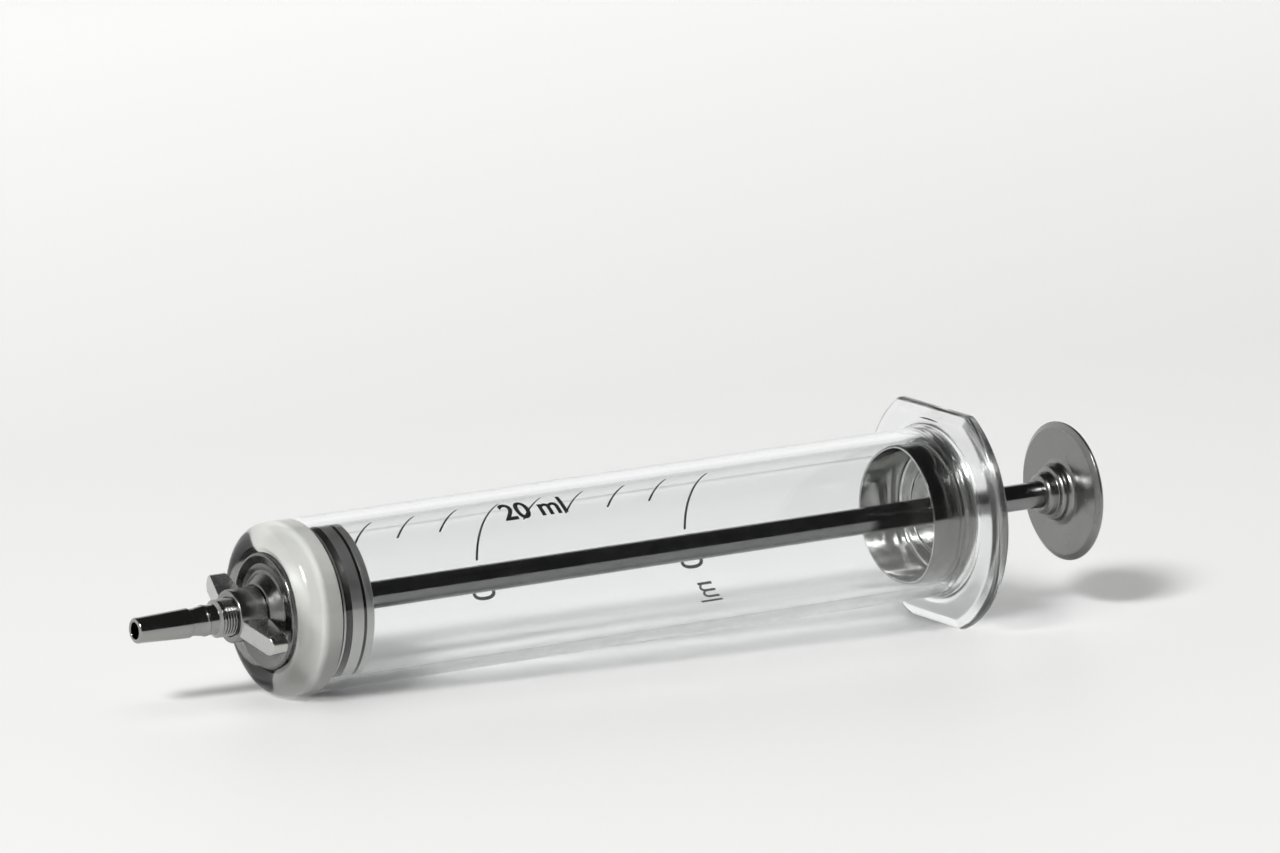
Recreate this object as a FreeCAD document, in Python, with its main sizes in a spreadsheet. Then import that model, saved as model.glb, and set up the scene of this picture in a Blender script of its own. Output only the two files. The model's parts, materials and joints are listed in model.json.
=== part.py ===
import FreeCAD, Part
import math
import os
import Sketcher

# A reusable glass and metal syringe of about 20 ml, lying on its side.
# The clear barrel is a plain tube. Its front end is rolled in to a round lip, and its rear end
# spreads into a finger flange with two flats. The metal nozzle is pulled against a milky gasket
# inside the lip by a wing nut and a dished washer. A metal piston on a thin rod with a thumb disc
# slides in the barrel, and a press-in cap with a hole guides the rod.
# Every piece is drawn along the X axis. A station is a distance from the nozzle's tip.

DRIVING_SIZES = [
    ("barrel_diameter", 22.9, "outside of the glass tube"),
    ("barrel_wall", 1.55, "glass thickness along the tube"),
    ("barrel_length", 104.9, "from the lip to the flange's rear face"),
    ("lip_station", 19.1, "where the glass begins, behind the tip"),
    ("lip_radius", 2.1, "half the thickness of the rolled lip"),
    ("shoulder_thickness", 3.0, "glass between the lip and the gasket"),
    ("shoulder_round", 1.0, "inner corner at the end of the bore"),
    ("opening_round", 0.5, "inner edge of the front opening"),
    ("flange_diameter", 33.0, "finger flange across its round sides"),
    ("flange_flat_above", 14.2, "from the axis up to the flange's upper flat"),
    ("flange_flat_below", 15.3, "from the axis down to the flat that the syringe lies on"),
    ("flange_corner", 1.8, "corners between the flats and the round sides"),
    ("flange_thickness", 2.0, "finger flange along the axis"),
    ("flange_edge", 0.85, "rounding of the flange's edges"),
    ("flange_root", 1.2, "sweep from the tube into the flange"),
    ("bore_mouth", 0.6, "rounding of the bore's rear edge"),
    ("tip_diameter", 3.35, "small end of the nozzle's cone"),
    ("cone_diameter", 3.95, "large end of the nozzle's cone"),
    ("cone_length", 7.7, "nozzle's cone"),
    ("tip_round", 0.3, "rounding of the nozzle's tip"),
    ("nozzle_bore", 2.2, "fluid way through the nozzle"),
    ("neck_diameter", 3.6, "groove behind the cone"),
    ("neck_length", 0.9, "groove behind the cone"),
    ("bead_diameter", 4.15, "narrow ring in front of the collar"),
    ("bead_station", 9.85, "front of the narrow ring"),
    ("bead_length", 0.45, "narrow ring"),
    ("collar_diameter", 4.0, "plain collar in front of the thread"),
    ("shank_diameter", 5.0, "outside of the nozzle's thread"),
    ("shank_station", 11.8, "front of the thread"),
    ("shank_lead", 0.3, "cone from the collar up to the thread"),
    ("plate_margin", 1.6, "gasket left round the nozzle's plate"),
    ("plate_thickness", 0.8, "nozzle's plate inside the gasket"),
    ("plate_sink", 0.35, "how far the plate's rear face lies inside the gasket"),
    ("hub_diameter", 7.0, "wing nut's hub"),
    ("hub_length", 4.05, "wing nut's hub"),
    ("hub_chamfer", 0.3, "front edge of the hub"),
    ("wing_span", 18.2, "tip to tip across both wings"),
    ("wing_width", 2.5, "thickness of a wing across its flat sides"),
    ("wing_sweep", 1.75, "how far a wing's front slopes back"),
    ("wing_tip_round", 1.1, "rounded end of a wing"),
    ("wing_turn", 20.0, "angle of the wings about the axis"),
    ("cup_overlap", 0.4, "how far the washer's rim reaches over the lip"),
    ("cup_wall", 0.45, "dished washer's sheet"),
    ("cup_boss_diameter", 7.6, "raised middle that the nut presses on"),
    ("cup_depth", 1.45, "from the raised middle down to the dish"),
    ("cup_rim_width", 1.35, "slope from the dish out to the rim"),
    ("cup_dish_width", 1.1, "flat bottom of the dish"),
    ("cup_rim_depth", 1.0, "from the raised middle down to the rim"),
    ("cup_skirt", 1.0, "short skirt of the rim, back to the glass"),
    ("cup_bend", 0.4, "bends of the dished washer"),
    ("gasket_length", 2.8, "gasket's thick part inside the bore"),
    ("gasket_spigot", 1.8, "gasket's neck in the front opening"),
    ("piston_length", 4.6, "metal piston"),
    ("piston_edge", 0.2, "chamfers of the piston"),
    ("piston_lead_length", 0.9, "cone behind the piston's front face"),
    ("piston_lead_drop", 0.25, "how far the cone falls at the front"),
    ("groove_offset", 3.6, "groove, behind the piston's front"),
    ("groove_width", 0.3, "groove round the piston"),
    ("groove_depth", 0.4, "groove round the piston"),
    ("rod_diameter", 3.6, "plunger rod"),
    ("rod_free_length", 109.7, "rod between the piston and the thumb disc"),
    ("spigot_diameter", 3.0, "rod's turned-down front end"),
    ("spigot_length", 2.8, "rod's turned-down front end"),
    ("disc_diameter", 18.9, "thumb disc"),
    ("disc_thickness", 1.1, "thumb disc"),
    ("disc_bevel_length", 0.5, "sloped front edge of the thumb disc"),
    ("disc_bevel_drop", 0.79, "sloped front edge of the thumb disc"),
    ("disc_rear_round", 0.55, "rounded rear edge of the thumb disc"),
    ("disc_socket", 2.9, "how far the rod goes into the thumb disc"),
    ("boss_front_diameter", 5.2, "front end of the thumb disc's boss"),
    ("boss_front_round", 0.4, "rounding of the boss's front"),
    ("boss_step_diameter", 5.9, "rear end of the boss's first step"),
    ("boss_step_length", 1.8, "first step of the boss"),
    ("boss_bulge", 0.7, "radius of the boss's round shoulder"),
    ("boss_flare", 0.9, "radius of the flare into the disc"),
    ("cap_relief", 0.48, "how much the cap's sleeve stands back from its grip"),
    ("cap_wall", 0.4, "guide cap's sheet"),
    ("cap_length", 7.4, "guide cap"),
    ("cap_recess", 0.3, "how far the cap sits inside the flange"),
    ("cap_band", 2.2, "length of the cap that grips the glass"),
    ("cap_step", 0.4, "slope from the sleeve up to the grip"),
    ("cap_edge", 0.25, "chamfer of the cap's rear edge"),
    ("cap_floor", 0.8, "cap's end wall"),
    ("cap_corner", 0.6, "inner corner of the cap"),
    ("cap_boss_diameter", 10.4, "raised middle of the end wall"),
    ("cap_boss_height", 1.0, "raised middle of the end wall"),
    ("cap_ring_inside", 12.4, "raised ring of the end wall"),
    ("cap_ring_outside", 14.2, "raised ring of the end wall"),
    ("cap_ring_height", 0.4, "raised ring of the end wall"),
    ("fit", 0.02, "radial gap between pieces fixed to each other"),
    ("running_fit", 0.06, "radial gap round sliding and turning pieces"),
    ("seat_gap", 0.05, "gap between faces that are drawn together"),
    ("stop_gap", 0.2, "gap between the piston and the gasket"),
]


class Size:
    """A number together with the spreadsheet expression that gives it."""

    def __init__(self, value, text):
        self.value = value
        self.text = text

    def __add__(self, other):
        other = as_size(other)
        return Size(self.value + other.value, f"({self.text} + {other.text})")

    def __sub__(self, other):
        other = as_size(other)
        return Size(self.value - other.value, f"({self.text} - {other.text})")

    def __mul__(self, other):
        other = as_size(other)
        return Size(self.value * other.value, f"({self.text} * {other.text})")

    def __truediv__(self, other):
        other = as_size(other)
        return Size(self.value / other.value, f"({self.text} / {other.text})")


def as_size(number):
    return number if isinstance(number, Size) else Size(float(number), str(number))


def square_root(size):
    return Size(math.sqrt(size.value), f"sqrt({size.text})")


doc = FreeCAD.newDocument("syringe")
sheet = doc.addObject("Spreadsheet::Sheet", "sizes")
driving = {}
for row, (alias, number, note) in enumerate(DRIVING_SIZES, start=1):
    sheet.set(f"A{row}", alias)
    sheet.set(f"B{row}", str(number))
    sheet.setAlias(f"B{row}", alias)
    sheet.set(f"C{row}", note)
    driving[alias] = Size(number, f"sizes.{alias}")
doc.recompute()

ZERO = as_size(0)

# Radii and stations that several pieces share
barrel_radius = driving["barrel_diameter"] / 2
bore_radius = barrel_radius - driving["barrel_wall"]
lip_centre = driving["lip_station"] + driving["lip_radius"]
opening_radius = barrel_radius - driving["lip_radius"] * 2
shoulder_station = driving["lip_station"] + driving["shoulder_thickness"]
barrel_rear = driving["lip_station"] + driving["barrel_length"]
flange_front = barrel_rear - driving["flange_thickness"]
flange_radius = driving["flange_diameter"] / 2
flat_above = driving["flange_flat_above"]
flat_below = driving["flange_flat_below"]
shank_radius = driving["shank_diameter"] / 2
gasket_rear = shoulder_station + driving["gasket_length"]
plate_radius = bore_radius - driving["plate_margin"]
plate_rear = gasket_rear - driving["plate_sink"]
plate_front = plate_rear - driving["plate_thickness"]

# The dished washer's rim stands on the rounded lip, and the nut stands on the washer
cup_radius = opening_radius + driving["cup_overlap"]
rim_inset = driving["lip_radius"] - driving["cup_overlap"]
lip_rise = square_root(driving["lip_radius"] * driving["lip_radius"] - rim_inset * rim_inset)
cup_seat = lip_centre - lip_rise - driving["seat_gap"]
cup_rim = cup_seat - driving["cup_skirt"]
cup_front = cup_rim - driving["cup_rim_depth"]
nut_rear = cup_front - driving["seat_gap"]
nut_front = nut_rear - driving["hub_length"]
piston_front = gasket_rear + driving["stop_gap"]
piston_rear = piston_front + driving["piston_length"]
rod_radius = driving["rod_diameter"] / 2
boss_front = piston_rear + driving["rod_free_length"]
step_rear = boss_front + driving["boss_step_length"]
disc_front = step_rear + driving["boss_bulge"] + driving["boss_flare"]
disc_rear = disc_front + driving["disc_thickness"]
cap_rear = barrel_rear - driving["cap_recess"]
cap_front = cap_rear - driving["cap_length"]


def origin_plane(body, role):
    return next(item for item in body.Origin.OriginFeatures if item.Role == role)


def new_body(label):
    body = doc.addObject("PartDesign::Body", label)
    body.Label = label
    return body


def pin_coordinate(sketch, direction, geometry, point, place):
    """Ties one coordinate of a sketch point to the sheet."""
    if place.text == "0":
        axis = -2 if direction == "DistanceX" else -1
        sketch.addConstraint(Sketcher.Constraint("PointOnObject", geometry, point, axis))
        return
    index = sketch.addConstraint(Sketcher.Constraint(direction, geometry, point, place.value))
    sketch.setExpression(f"Constraints[{index}]", place.text)


def draw_outline(body, name, plane, corners, arcs=None):
    """Closes the corners into an outline. arcs gives, for the side that starts at a corner,
    the arc's centre and whether it runs clockwise."""
    arcs = arcs or {}
    sketch = body.newObject("Sketcher::SketchObject", name)
    sketch.AttachmentSupport = [(origin_plane(body, plane), "")]
    sketch.MapMode = "FlatFace"
    ends = []
    for index, (x, y) in enumerate(corners):
        next_x, next_y = corners[(index + 1) % len(corners)]
        start = FreeCAD.Vector(x.value, y.value, 0)
        end = FreeCAD.Vector(next_x.value, next_y.value, 0)
        if index in arcs:
            centre_x, centre_y, clockwise = arcs[index]
            centre = FreeCAD.Vector(centre_x.value, centre_y.value, 0)
            circle = Part.Circle(centre, FreeCAD.Vector(0, 0, 1), (start - centre).Length)
            first, last = (end, start) if clockwise else (start, end)
            angles = [math.atan2(p.y - centre.y, p.x - centre.x) for p in (first, last)]
            if angles[1] <= angles[0]:
                angles[1] += 2 * math.pi
            geometry = sketch.addGeometry(Part.ArcOfCircle(circle, *angles), False)
            ends.append((geometry, 2, 1) if clockwise else (geometry, 1, 2))
        else:
            geometry = sketch.addGeometry(Part.LineSegment(start, end), False)
            ends.append((geometry, 1, 2))
    for index, (geometry, start_point, end_point) in enumerate(ends):
        following, following_start, _ = ends[(index + 1) % len(ends)]
        sketch.addConstraint(
            Sketcher.Constraint("Coincident", geometry, end_point, following, following_start))
    for index, (x, y) in enumerate(corners):
        geometry, start_point, _ = ends[index]
        pin_coordinate(sketch, "DistanceX", geometry, start_point, x)
        pin_coordinate(sketch, "DistanceY", geometry, start_point, y)
        if index in arcs:
            pin_coordinate(sketch, "DistanceX", geometry, 3, arcs[index][0])
    return sketch


def turn_outline(body, name, corners, arcs=None):
    """Turns an outline of station and radius a full circle about the X axis."""
    sketch = draw_outline(body, name + "_outline", "XY_Plane", corners, arcs)
    turned = body.newObject("PartDesign::Revolution", name)
    turned.Profile = sketch
    turned.ReferenceAxis = (sketch, ["H_Axis"])
    turned.Angle = 360
    doc.recompute()
    return turned


def round_edges(body, name, feature, radius, wanted):
    """Rounds the edges of the feature that the test picks."""
    edges = [f"Edge{number}" for number, edge in enumerate(feature.Shape.Edges, start=1) if wanted(edge)]
    rounded = body.newObject("PartDesign::Fillet", name)
    rounded.Base = (feature, edges)
    rounded.setExpression("Radius", radius.text)
    doc.recompute()
    return rounded


def repeat_about_axis(body, name, feature, sketch, count):
    pattern = body.newObject("PartDesign::PolarPattern", name)
    pattern.Originals = [feature]
    pattern.Axis = (sketch, ["H_Axis"])
    pattern.Angle = 360
    pattern.Occurrences = count
    body.Tip = pattern
    doc.recompute()
    return pattern


# Glass barrel: one section of the whole wall, turned, with the flange's flats cut afterwards
def make_glass_barrel():
    body = new_body("glass_barrel")
    lip = driving["lip_radius"]
    opening_round = driving["opening_round"]
    shoulder_round = driving["shoulder_round"]
    root = driving["flange_root"]
    mouth = driving["bore_mouth"]
    corners = [
        (lip_centre, opening_radius),
        (lip_centre, barrel_radius),
        (flange_front - root, barrel_radius),
        (flange_front, barrel_radius + root),
        (flange_front, flange_radius),
        (barrel_rear, flange_radius),
        (barrel_rear, bore_radius + mouth),
        (barrel_rear - mouth, bore_radius),
        (shoulder_station + shoulder_round, bore_radius),
        (shoulder_station, bore_radius - shoulder_round),
        (shoulder_station, opening_radius + opening_round),
        (shoulder_station - opening_round, opening_radius),
    ]
    arcs = {
        0: (lip_centre, opening_radius + lip, True),
        2: (flange_front - root, barrel_radius + root, False),
        6: (barrel_rear - mouth, bore_radius + mouth, True),
        8: (shoulder_station + shoulder_round, bore_radius - shoulder_round, False),
        10: (shoulder_station - opening_round, opening_radius + opening_round, True),
    }
    wall = turn_outline(body, "barrel_wall", corners, arcs)

    # The two flats of the hand-formed flange differ, so each has its own height
    clear = flange_radius + driving["flange_thickness"]

    def cut_flat(name, lower, upper):
        corners = [(ZERO - clear, lower), (clear, lower), (clear, upper), (ZERO - clear, upper)]
        flat = body.newObject("PartDesign::Pocket", name)
        flat.Profile = draw_outline(body, name + "_outline", "YZ_Plane", corners)
        flat.Type = "ThroughAll"
        flat.Midplane = True
        doc.recompute()
        return flat

    one = cut_flat("upper_flat", flat_above, clear)
    both = cut_flat("lower_flat", ZERO - clear, ZERO - flat_below)
    if not both.Shape.Volume < one.Shape.Volume < wall.Shape.Volume:
        raise ValueError("a flat of the flange cut nothing")

    tube_edge = barrel_radius.value + root.value
    faces = (flange_front.value, barrel_rear.value)

    def at_flat_corner(edge):
        start, end = edge.Vertexes[0].Point, edge.Vertexes[-1].Point
        return abs(abs(start.x - end.x) - (faces[1] - faces[0])) < 0.01 and abs(start.y) > 1

    corners_rounded = round_edges(
        body, "flange_corners", both, driving["flange_corner"], at_flat_corner)

    def on_flange_rim(edge):
        points = edge.discretize(5)
        on_face = any(all(abs(p.x - face) < 0.01 for p in points) for face in faces)
        return on_face and all(math.hypot(p.y, p.z) > tube_edge + 0.1 for p in points)

    round_edges(body, "flange_rim", corners_rounded, driving["flange_edge"], on_flange_rim)
    return body


# Nozzle: cone, neck, collar, threaded shank and the plate that sits in the gasket, turned as one
def make_nozzle():
    body = new_body("nozzle")
    hole = driving["nozzle_bore"] / 2
    tip_radius = driving["tip_diameter"] / 2
    tip_round = driving["tip_round"]
    cone = driving["cone_length"]
    neck_radius = driving["neck_diameter"] / 2
    neck_rear = cone + driving["neck_length"]
    collar_radius = driving["collar_diameter"] / 2
    bead_radius = driving["bead_diameter"] / 2
    bead_front = driving["bead_station"]
    bead_rear = bead_front + driving["bead_length"]
    bead_slope = bead_radius - collar_radius
    corners = [
        (ZERO, hole),
        (ZERO, tip_radius - tip_round),
        (tip_round, tip_radius),
        (cone, driving["cone_diameter"] / 2),
        (cone, neck_radius),
        (neck_rear, neck_radius),
        (bead_front, collar_radius),
        (bead_front + bead_slope, bead_radius),
        (bead_rear - bead_slope, bead_radius),
        (bead_rear, collar_radius),
        (driving["shank_station"] - driving["shank_lead"], collar_radius),
        (driving["shank_station"], shank_radius),
        (plate_front, shank_radius),
        (plate_front, plate_radius),
        (plate_rear, plate_radius),
        (plate_rear, hole),
    ]
    arcs = {1: (tip_round, tip_radius - tip_round, True)}
    turn_outline(body, "nozzle_turning", corners, arcs)
    return body


# Wing nut: a turned hub with two wings whose fronts slope back towards their rounded ends
def make_wing_nut():
    body = new_body("wing_nut")
    front = nut_front
    hub_radius = driving["hub_diameter"] / 2
    hole = shank_radius + driving["running_fit"]
    chamfer = driving["hub_chamfer"]
    wing_tip = driving["wing_span"] / 2
    hub_corners = [
        (front, ZERO),
        (front, hub_radius - chamfer),
        (front + chamfer, hub_radius),
        (nut_rear, hub_radius),
        (nut_rear, ZERO),
    ]
    hub = turn_outline(body, "hub", hub_corners)

    wing_corners = [
        (front, ZERO),
        (front, hub_radius - chamfer),
        (front + driving["wing_sweep"], wing_tip),
        (nut_rear, wing_tip),
        (nut_rear, ZERO),
    ]
    wing_sketch = draw_outline(body, "wing_outline", "XY_Plane", wing_corners)
    wing = body.newObject("PartDesign::Pad", "wing")
    wing.Profile = wing_sketch
    wing.setExpression("Length", driving["wing_width"].text)
    wing.Midplane = True
    doc.recompute()
    wings = repeat_about_axis(body, "wings", wing, wing_sketch, 2)

    def at_wing_end(edge):
        ends = [vertex.Point for vertex in edge.Vertexes]
        along = len(ends) == 2 and abs(ends[0].x - ends[1].x) > chamfer.value
        return along and all(abs(p.y) > wing_tip.value - 0.05 for p in ends)

    rounded = round_edges(body, "wing_ends", wings, driving["wing_tip_round"], at_wing_end)

    bore_sketch = draw_outline(
        body, "hub_bore_outline", "XY_Plane",
        [(front, ZERO), (front, hole), (nut_rear, hole), (nut_rear, ZERO)])
    bore = body.newObject("PartDesign::Groove", "hub_bore")
    bore.Profile = bore_sketch
    bore.ReferenceAxis = (bore_sketch, ["H_Axis"])
    bore.Angle = 360
    doc.recompute()
    if bore.Shape.Volume >= rounded.Shape.Volume or hub.Shape.Volume <= 0:
        raise ValueError("the wing nut's bore cut nothing")
    return body


# Cup washer: dished sheet with a raised middle and a rim that seats on the glass lip
def make_cup_washer():
    body = new_body("cup_washer")
    front = cup_front
    wall = driving["cup_wall"]
    hole = shank_radius + driving["running_fit"]
    boss_radius = driving["cup_boss_diameter"] / 2
    dish_outside = cup_radius - driving["cup_rim_width"]
    dish_inside = dish_outside - driving["cup_dish_width"]
    dish = front + driving["cup_depth"]
    corners = [
        (front, hole),
        (front, boss_radius),
        (dish, dish_inside),
        (dish, dish_outside),
        (cup_rim, cup_radius),
        (cup_seat, cup_radius),
        (cup_seat, cup_radius - wall),
        (cup_rim + wall, cup_radius - wall),
        (dish + wall, dish_outside + wall / 2),
        (dish + wall, dish_inside - wall / 2),
        (front + wall, boss_radius - wall / 2),
        (front + wall, hole),
    ]
    sheet_metal = turn_outline(body, "dish", corners)

    def at_bend(edge):
        if not isinstance(edge.Curve, Part.Circle):
            return False
        inner = boss_radius.value - wall.value < edge.Curve.Radius < dish_outside.value + 0.1
        return inner and abs(edge.Curve.Center.x - front.value) < driving["cup_depth"].value + 0.1

    round_edges(body, "dish_bends", sheet_metal, driving["cup_bend"], at_bend)
    return body


# Front gasket: milky silicone that fills the rolled lip and wraps the nozzle's plate
def make_front_gasket():
    body = new_body("front_gasket")
    fit = driving["fit"]
    hole = shank_radius + fit
    spigot_radius = opening_radius - fit
    spigot_front = shoulder_station - driving["gasket_spigot"]
    outer_radius = bore_radius - fit
    face = shoulder_station + fit
    opening_round = driving["opening_round"]
    shoulder_round = driving["shoulder_round"]
    corners = [
        (spigot_front, hole),
        (spigot_front, spigot_radius),
        (face - opening_round, spigot_radius),
        (face, spigot_radius + opening_round),
        (face, outer_radius - shoulder_round),
        (face + shoulder_round, outer_radius),
        (gasket_rear, outer_radius),
        (gasket_rear, plate_radius + fit),
        (plate_front - fit, plate_radius + fit),
        (plate_front - fit, hole),
    ]
    arcs = {
        2: (face - opening_round, spigot_radius + opening_round, False),
        4: (face + shoulder_round, outer_radius - shoulder_round, True),
    }
    turn_outline(body, "gasket_moulding", corners, arcs)
    return body


# Piston: a turned and lapped metal disc with a sloped front edge, a fine groove and a rod socket
def make_piston():
    body = new_body("piston")
    radius = bore_radius - driving["running_fit"]
    edge = driving["piston_edge"]
    lead_radius = radius - driving["piston_lead_drop"]
    groove_front = piston_front + driving["groove_offset"]
    groove_rear = groove_front + driving["groove_width"]
    groove_floor = radius - driving["groove_depth"]
    socket_radius = driving["spigot_diameter"] / 2 + driving["fit"]
    socket_floor = piston_rear - driving["spigot_length"] - driving["seat_gap"]
    corners = [
        (piston_front, ZERO),
        (piston_front, lead_radius - edge),
        (piston_front + edge, lead_radius),
        (piston_front + driving["piston_lead_length"], radius),
        (groove_front, radius),
        (groove_front, groove_floor),
        (groove_rear, groove_floor),
        (groove_rear, radius),
        (piston_rear - edge, radius),
        (piston_rear, radius - edge),
        (piston_rear, socket_radius),
        (socket_floor, socket_radius),
        (socket_floor, ZERO),
    ]
    turn_outline(body, "piston_turning", corners)
    return body


# Plunger rod: plain drawn rod whose turned-down front end sits in the piston's socket
def make_plunger_rod():
    body = new_body("plunger_rod")
    shoulder = piston_rear + driving["seat_gap"]
    front = piston_rear - driving["spigot_length"]
    rear = boss_front + driving["disc_socket"]
    spigot_radius = driving["spigot_diameter"] / 2
    corners = [
        (front, ZERO),
        (front, spigot_radius),
        (shoulder, spigot_radius),
        (shoulder, rod_radius),
        (rear, rod_radius),
        (rear, ZERO),
    ]
    turn_outline(body, "rod_bar", corners)
    return body


# Thumb disc: flat disc with a sloped front edge and a stepped boss that flares into it
def make_thumb_disc():
    body = new_body("thumb_disc")
    radius = driving["disc_diameter"] / 2
    rear_round = driving["disc_rear_round"]
    socket_radius = rod_radius + driving["fit"]
    socket_floor = boss_front + driving["disc_socket"] + driving["seat_gap"]
    front_radius = driving["boss_front_diameter"] / 2
    front_round = driving["boss_front_round"]
    step_radius = driving["boss_step_diameter"] / 2
    bulge = driving["boss_bulge"]
    flare = driving["boss_flare"]
    corners = [
        (boss_front, socket_radius),
        (boss_front, front_radius - front_round),
        (boss_front + front_round, front_radius),
        (step_rear, step_radius),
        (step_rear + bulge, step_radius + bulge),
        (disc_front, step_radius + bulge + flare),
        (disc_front, radius - driving["disc_bevel_drop"]),
        (disc_front + driving["disc_bevel_length"], radius),
        (disc_rear - rear_round, radius),
        (disc_rear, radius - rear_round),
        (disc_rear, ZERO),
        (socket_floor, ZERO),
        (socket_floor, socket_radius),
    ]
    arcs = {
        1: (boss_front + front_round, front_radius - front_round, True),
        3: (step_rear + bulge, step_radius, True),
        4: (step_rear + bulge, step_radius + bulge + flare, False),
        8: (disc_rear - rear_round, radius - rear_round, True),
    }
    turn_outline(body, "disc_turning", corners, arcs)
    return body


# Guide cap: thin metal cup pressed into the bore's rear end, with a hole that guides the rod
def make_guide_cap():
    body = new_body("guide_cap")
    grip_radius = bore_radius - driving["fit"]
    sleeve_radius = grip_radius - driving["cap_relief"]
    inside_radius = sleeve_radius - driving["cap_wall"]
    grip_front = cap_rear - driving["cap_band"]
    edge = driving["cap_edge"]
    floor_front = cap_rear - driving["cap_floor"]
    corner = driving["cap_corner"]
    hole = rod_radius + driving["running_fit"]
    boss_radius = driving["cap_boss_diameter"] / 2
    boss_front_face = floor_front - driving["cap_boss_height"]
    ring_inside = driving["cap_ring_inside"] / 2
    ring_outside = driving["cap_ring_outside"] / 2
    ring_front = floor_front - driving["cap_ring_height"]
    corners = [
        (cap_front, inside_radius),
        (cap_front, sleeve_radius),
        (grip_front - driving["cap_step"], sleeve_radius),
        (grip_front, grip_radius),
        (cap_rear - edge, grip_radius),
        (cap_rear, grip_radius - edge),
        (cap_rear, hole),
        (boss_front_face, hole),
        (boss_front_face, boss_radius),
        (floor_front, boss_radius),
        (floor_front, ring_inside),
        (ring_front, ring_inside),
        (ring_front, ring_outside),
        (floor_front, ring_outside),
        (floor_front, inside_radius - corner),
        (floor_front - corner, inside_radius),
    ]
    arcs = {14: (floor_front - corner, inside_radius - corner, False)}
    turn_outline(body, "cap_pressing", corners, arcs)
    return body


pieces = [
    make_glass_barrel(),
    make_nozzle(),
    make_wing_nut(),
    make_cup_washer(),
    make_front_gasket(),
    make_piston(),
    make_plunger_rod(),
    make_thumb_disc(),
    make_guide_cap(),
]

# The syringe lies on the rolled lip and on the edge of the lower flat, so its axis rises to the rear.
# The floor touches both round edges from below, which gives the tilt.
edge_round = driving["flange_edge"].value
run = flange_front.value + edge_round - lip_centre.value
drop = (flat_below.value - edge_round) - (barrel_radius.value - driving["lip_radius"].value)
tilt = math.atan2(drop, run) + math.asin((edge_round - driving["lip_radius"].value) / math.hypot(run, drop))
lowest = (lip_centre.value * math.sin(tilt)
          - (barrel_radius.value - driving["lip_radius"].value) * math.cos(tilt)
          - driving["lip_radius"].value)

lean = FreeCAD.Rotation(FreeCAD.Vector(0, 1, 0), -math.degrees(tilt))
wing_turn = FreeCAD.Rotation(FreeCAD.Vector(1, 0, 0), driving["wing_turn"].value)


def place_pieces(shift):
    for piece in pieces:
        own_turn = wing_turn if piece.Label == "wing_nut" else FreeCAD.Rotation()
        piece.Placement = FreeCAD.Placement(shift, lean * own_turn)
    doc.recompute()


place_pieces(FreeCAD.Vector(0, 0, -lowest))
boxes = [piece.Shape.optimalBoundingBox(False, False) for piece in pieces]
middle = (min(box.XMin for box in boxes) + max(box.XMax for box in boxes)) / 2
place_pieces(FreeCAD.Vector(-middle, 0, -lowest))

for item in doc.Objects:
    if "Invalid" in item.State or "Error" in item.State:
        raise ValueError(f"{item.Name} did not build")
for piece in pieces:
    if piece.Shape.isNull() or not piece.Shape.isValid() or len(piece.Shape.Solids) != 1:
        raise ValueError(f"{piece.Label} is not one sound solid")

print(f"tilt {math.degrees(tilt):.4f} degrees, tip at x {-middle:.4f}, axis there at z {-lowest:.4f}")
os.makedirs("parts", exist_ok=True)
for piece in pieces:
    piece.Shape.exportStep(f"parts/{piece.Label}.step")
    box = piece.Shape.BoundBox
    print(f"{piece.Label}: volume {piece.Shape.Volume:.1f}, x {box.XMin:.2f} to {box.XMax:.2f}, "
          f"z {box.ZMin:.3f} to {box.ZMax:.3f}")
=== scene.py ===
import json
import math

import bmesh
import bpy
import numpy as np
from mathutils import Matrix, Vector


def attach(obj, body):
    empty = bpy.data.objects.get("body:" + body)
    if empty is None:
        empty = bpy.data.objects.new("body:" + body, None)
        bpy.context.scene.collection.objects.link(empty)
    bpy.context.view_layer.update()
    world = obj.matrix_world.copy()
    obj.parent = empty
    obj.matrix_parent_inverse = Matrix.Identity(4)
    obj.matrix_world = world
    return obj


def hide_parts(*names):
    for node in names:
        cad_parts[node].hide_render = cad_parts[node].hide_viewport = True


# A reusable glass syringe with a metal nozzle, piston and thumb disc, lying on a pale table.
# Lengths are in millimetres until place() turns them into the frame's metres.
# A station is a distance along the syringe, measured back from the nozzle's tip.
# A turn about the axis is an angle from the far side up over the top.

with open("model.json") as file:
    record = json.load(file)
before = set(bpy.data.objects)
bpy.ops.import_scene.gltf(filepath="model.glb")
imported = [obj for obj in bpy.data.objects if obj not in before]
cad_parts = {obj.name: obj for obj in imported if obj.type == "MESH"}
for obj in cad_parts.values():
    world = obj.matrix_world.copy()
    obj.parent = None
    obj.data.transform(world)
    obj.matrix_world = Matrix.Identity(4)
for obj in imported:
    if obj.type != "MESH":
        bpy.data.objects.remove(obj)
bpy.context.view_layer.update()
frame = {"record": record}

needleMount = next(mount for mount in frame["record"]["mounts"] if mount["name"] == "needle_cone")
tipPoint = np.array(needleMount["pos_m"], float)
alongAxis = -np.array(needleMount["axis"], float)
alongAxis /= np.linalg.norm(alongAxis)
farSide = np.array([0.0, 1.0, 0.0])
upAcross = np.cross(alongAxis, farSide)


# Tip point plus the station along the axis, far across it and up across it
def place(station, far, up):
    return tipPoint + (np.asarray(station)[..., None] * alongAxis
                       + np.asarray(far)[..., None] * farSide
                       + np.asarray(up)[..., None] * upAcross) / 1000


# An sRGB hex colour in the linear numbers that shaders take
def linear(hexColour):
    channels = np.array([int(hexColour[start:start + 2], 16) for start in (0, 2, 4)]) / 255
    low = channels / 12.92
    high = ((channels + 0.055) / 1.055) ** 2.4
    return (*np.where(channels <= 0.04045, low, high).tolist(), 1.0)


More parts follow.
